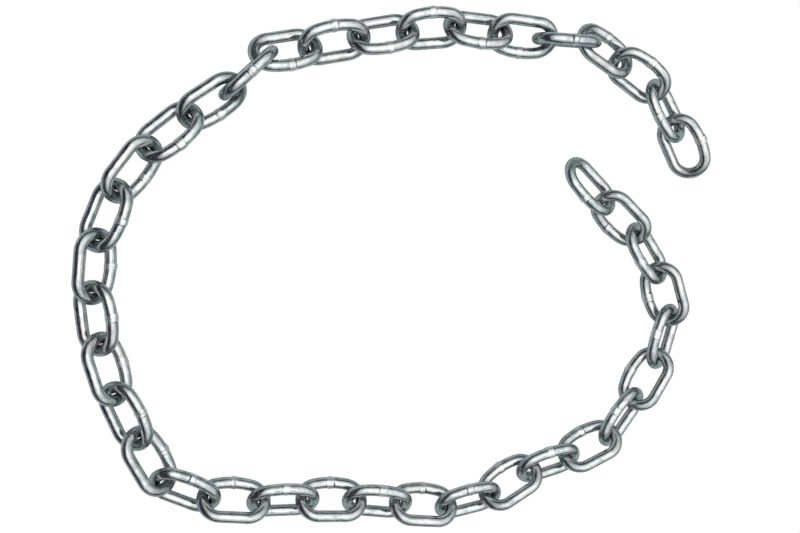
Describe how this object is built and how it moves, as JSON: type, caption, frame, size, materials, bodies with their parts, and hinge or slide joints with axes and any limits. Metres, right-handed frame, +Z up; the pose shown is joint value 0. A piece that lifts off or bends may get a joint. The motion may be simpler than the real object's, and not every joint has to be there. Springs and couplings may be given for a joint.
{
  "type": "straight-link welded chain",
  "caption": "Open length of zinc-plated welded steel chain with short straight links, for hanging, tying back or securing a load.",
  "frame": {"origin": "on the floor, under the middle of the box round the laid-out chain", "axes": "+Z up, +X from the closed end of the loop towards the two free ends, +Y towards the branch that starts with link_01"},
  "size_m": [0.3144, 0.252, 0.023],
  "materials": {
    "wire": "bright zinc plate over welded steel wire"
  },
  "bodies": {
    "link_01": {"link_01": "wire"},
    "link_02": {"link_02": "wire"},
    "link_03": {"link_03": "wire"},
    "link_04": {"link_04": "wire"},
    "link_05": {"link_05": "wire"},
    "link_06": {"link_06": "wire"},
    "link_07": {"link_07": "wire"},
    "link_08": {"link_08": "wire"},
    "link_09": {"link_09": "wire"},
    "link_10": {"link_10": "wire"},
    "link_11": {"link_11": "wire"},
    "link_12": {"link_12": "wire"},
    "link_13": {"link_13": "wire"},
    "link_14": {"link_14": "wire"},
    "link_15": {"link_15": "wire"},
    "link_16": {"link_16": "wire"},
    "link_17": {"link_17": "wire"},
    "link_18": {"link_18": "wire"},
    "link_19": {"link_19": "wire"},
    "link_20": {"link_20": "wire"},
    "link_21": {"link_21": "wire"},
    "link_22": {"link_22": "wire"},
    "link_23": {"link_23": "wire"},
    "link_24": {"link_24": "wire"},
    "link_25": {"link_25": "wire"},
    "link_26": {"link_26": "wire"},
    "link_27": {"link_27": "wire"},
    "link_28": {"link_28": "wire"},
    "link_29": {"link_29": "wire"},
    "link_30": {"link_30": "wire"},
    "link_31": {"link_31": "wire"},
    "link_32": {"link_32": "wire"},
    "link_33": {"link_33": "wire"},
    "link_34": {"link_34": "wire"},
    "link_35": {"link_35": "wire"},
    "link_36": {"link_36": "wire"},
    "link_37": {"link_37": "wire"},
    "link_38": {"link_38": "wire"}
  },
  "joints": [
    {"name": "link_20_swing", "type": "hinge", "parent": "link_19", "child": "link_20", "pos_m": [-0.13756, -0.05254, 0.00706], "axis": [-0.619, -0.4955, 0.6093], "range_deg": [-50, 15]},
    {"name": "link_21_swing", "type": "hinge", "parent": "link_20", "child": "link_21", "pos_m": [-0.12827, -0.074, 0.0096], "axis": [-0.5538, -0.6004, -0.5769], "range_deg": [-90, 45]},
    {"name": "link_22_swing", "type": "hinge", "parent": "link_21", "child": "link_22", "pos_m": [-0.12061, -0.09673, 0.00996], "axis": [0.7685, 0.1342, -0.6257], "range_deg": [-30, 60]},
    {"name": "link_23_swing", "type": "hinge", "parent": "link_22", "child": "link_23", "pos_m": [-0.09731, -0.10551, 0.00732], "axis": [0.434, 0.6606, 0.6125], "range_deg": [-90, 25]},
    {"name": "link_24_swing", "type": "hinge", "parent": "link_23", "child": "link_24", "pos_m": [-0.07344, -0.10492, 0.00673], "axis": [0.2773, -0.7546, 0.5947], "range_deg": [-45, 90]},
    {"name": "link_25_swing", "type": "hinge", "parent": "link_24", "child": "link_25", "pos_m": [-0.05024, -0.10547, 0.01006], "axis": [0.4015, -0.73, -0.5531], "range_deg": [-90, 40]},
    {"name": "link_26_swing", "type": "hinge", "parent": "link_25", "child": "link_26", "pos_m": [-0.02704, -0.10747, 0.00626], "axis": [-0.4075, 0.7151, -0.5679], "range_deg": [-75, 35]},
    {"name": "link_27_swing", "type": "hinge", "parent": "link_26", "child": "link_27", "pos_m": [-0.00383, -0.11205, 0.00991], "axis": [-0.2786, 0.7791, 0.5616], "range_deg": [-40, 90]},
    {"name": "link_28_swing", "type": "hinge", "parent": "link_27", "child": "link_28", "pos_m": [0.01963, -0.11839, 0.00911], "axis": [-0.1737, -0.7474, 0.6413], "range_deg": [-90, 45]},
    {"name": "link_29_swing", "type": "hinge", "parent": "link_28", "child": "link_29", "pos_m": [0.04327, -0.11425, 0.00715], "axis": [-0.0091, -0.7922, -0.6102], "range_deg": [-35, 90]},
    {"name": "link_30_swing", "type": "hinge", "parent": "link_29", "child": "link_30", "pos_m": [0.06116, -0.0987, 0.00611], "axis": [-0.7569, 0.3405, -0.5578], "range_deg": [-45, 35]},
    {"name": "link_31_swing", "type": "hinge", "parent": "link_30", "child": "link_31", "pos_m": [0.0853, -0.09521, 0.00913], "axis": [-0.4206, 0.6847, 0.5952], "range_deg": [-70, 90]},
    {"name": "link_32_swing", "type": "hinge", "parent": "link_31", "child": "link_32", "pos_m": [0.10802, -0.0882, 0.00979], "axis": [0.1117, -0.7684, 0.6301], "range_deg": [-80, 30]},
    {"name": "link_33_swing", "type": "hinge", "parent": "link_32", "child": "link_33", "pos_m": [0.11867, -0.06607, 0.0096], "axis": [0.7999, -0.1655, -0.5769], "range_deg": [-90, 45]},
    {"name": "link_34_swing", "type": "hinge", "parent": "link_33", "child": "link_34", "pos_m": [0.13311, -0.04685, 0.00876], "axis": [-0.6482, 0.4082, -0.6428], "range_deg": [-60, 90]},
    {"name": "link_35_swing", "type": "hinge", "parent": "link_34", "child": "link_35", "pos_m": [0.14091, -0.02452, 0.0065], "axis": [-0.6512, 0.472, 0.5943], "range_deg": [-60, 25]},
    {"name": "link_36_swing", "type": "hinge", "parent": "link_35", "child": "link_36", "pos_m": [0.13094, -0.00143, 0.00894], "axis": [0.7424, 0.19, 0.6424], "range_deg": [-90, 50]},
    {"name": "link_37_swing", "type": "hinge", "parent": "link_36", "child": "link_37", "pos_m": [0.11652, 0.01777, 0.00831], "axis": [0.606, 0.5071, -0.6129], "range_deg": [-90, 90]},
    {"name": "link_38_swing", "type": "hinge", "parent": "link_37", "child": "link_38", "pos_m": [0.09805, 0.03169, 0.00642], "axis": [-0.1621, -0.8001, -0.5775], "range_deg": [-90, 40]},
    {"name": "link_18_swing", "type": "hinge", "parent": "link_19", "child": "link_18", "pos_m": [-0.14542, -0.02473, 0.00739], "axis": [-0.7815, 0.0554, 0.6214], "range_deg": [-90, 70]},
    {"name": "link_17_swing", "type": "hinge", "parent": "link_18", "child": "link_17", "pos_m": [-0.14737, -0.00115, 0.00881], "axis": [0.7871, -0.124, 0.6042], "range_deg": [-90, 90]},
    {"name": "link_16_swing", "type": "hinge", "parent": "link_17", "child": "link_16", "pos_m": [-0.14602, 0.02259, 0.00911], "axis": [0.7672, -0.0123, -0.6413], "range_deg": [-90, 10]},
    {"name": "link_15_swing", "type": "hinge", "parent": "link_16", "child": "link_15", "pos_m": [-0.13547, 0.04426, 0.00782], "axis": [-0.7264, 0.3054, -0.6157], "range_deg": [-90, 60]},
    {"name": "link_14_swing", "type": "hinge", "parent": "link_15", "child": "link_14", "pos_m": [-0.11999, 0.06252, 0.00859], "axis": [-0.5849, 0.495, 0.6425], "range_deg": [-75, 90]},
    {"name": "link_13_swing", "type": "hinge", "parent": "link_14", "child": "link_13", "pos_m": [-0.10271, 0.0783, 0.00603], "axis": [0.7328, -0.3627, 0.5758], "range_deg": [-30, 85]},
    {"name": "link_12_swing", "type": "hinge", "parent": "link_13", "child": "link_12", "pos_m": [-0.08052, 0.08391, 0.006], "axis": [-0.3406, -0.8036, -0.4881], "range_deg": [-35, 5]},
    {"name": "link_11_swing", "type": "hinge", "parent": "link_12", "child": "link_11", "pos_m": [-0.06824, 0.10146, 0.01783], "axis": [0.603, 0.5692, -0.5588], "range_deg": [-5, 40]},
    {"name": "link_10_swing", "type": "hinge", "parent": "link_11", "child": "link_10", "pos_m": [-0.04478, 0.1047, 0.00884], "axis": [0.2178, 0.7878, -0.5761], "range_deg": [-40, 90]},
    {"name": "link_09_swing", "type": "hinge", "parent": "link_10", "child": "link_09", "pos_m": [-0.02178, 0.11151, 0.00804], "axis": [0.1304, -0.7549, -0.6428], "range_deg": [-90, 90]},
    {"name": "link_08_swing", "type": "hinge", "parent": "link_09", "child": "link_08", "pos_m": [0.00136, 0.11667, 0.00718], "axis": [0.2939, -0.7153, 0.6339], "range_deg": [-65, 90]},
    {"name": "link_07_swing", "type": "hinge", "parent": "link_08", "child": "link_07", "pos_m": [0.02501, 0.11887, 0.00924], "axis": [-0.2883, 0.7242, 0.6264], "range_deg": [-50, 90]},
    {"name": "link_06_swing", "type": "hinge", "parent": "link_07", "child": "link_06", "pos_m": [0.04719, 0.11924, 0.00455], "axis": [-0.6078, 0.6306, -0.4827], "range_deg": [-50, 20]},
    {"name": "link_05_swing", "type": "hinge", "parent": "link_06", "child": "link_05", "pos_m": [0.07001, 0.10857, 0.00713], "axis": [-0.5548, -0.6428, -0.5282], "range_deg": [-75, 5]},
    {"name": "link_04_swing", "type": "hinge", "parent": "link_05", "child": "link_04", "pos_m": [0.09128, 0.11163, 0.00535], "axis": [-0.681, 0.0866, -0.7271], "range_deg": [-90, 5]},
    {"name": "link_03_swing", "type": "hinge", "parent": "link_04", "child": "link_03", "pos_m": [0.11019, 0.09709, 0.00825], "axis": [0.8267, 0.3505, -0.4401], "range_deg": [-20, 90]},
    {"name": "link_02_swing", "type": "hinge", "parent": "link_03", "child": "link_02", "pos_m": [0.13111, 0.08729, 0.00977], "axis": [0.3699, 0.69, 0.6222], "range_deg": [-30, 90]},
    {"name": "link_01_swing", "type": "hinge", "parent": "link_02", "child": "link_01", "pos_m": [0.1406, 0.06482, 0.00864], "axis": [-0.7579, -0.2372, 0.6077], "range_deg": [-90, 40]}
  ]
}
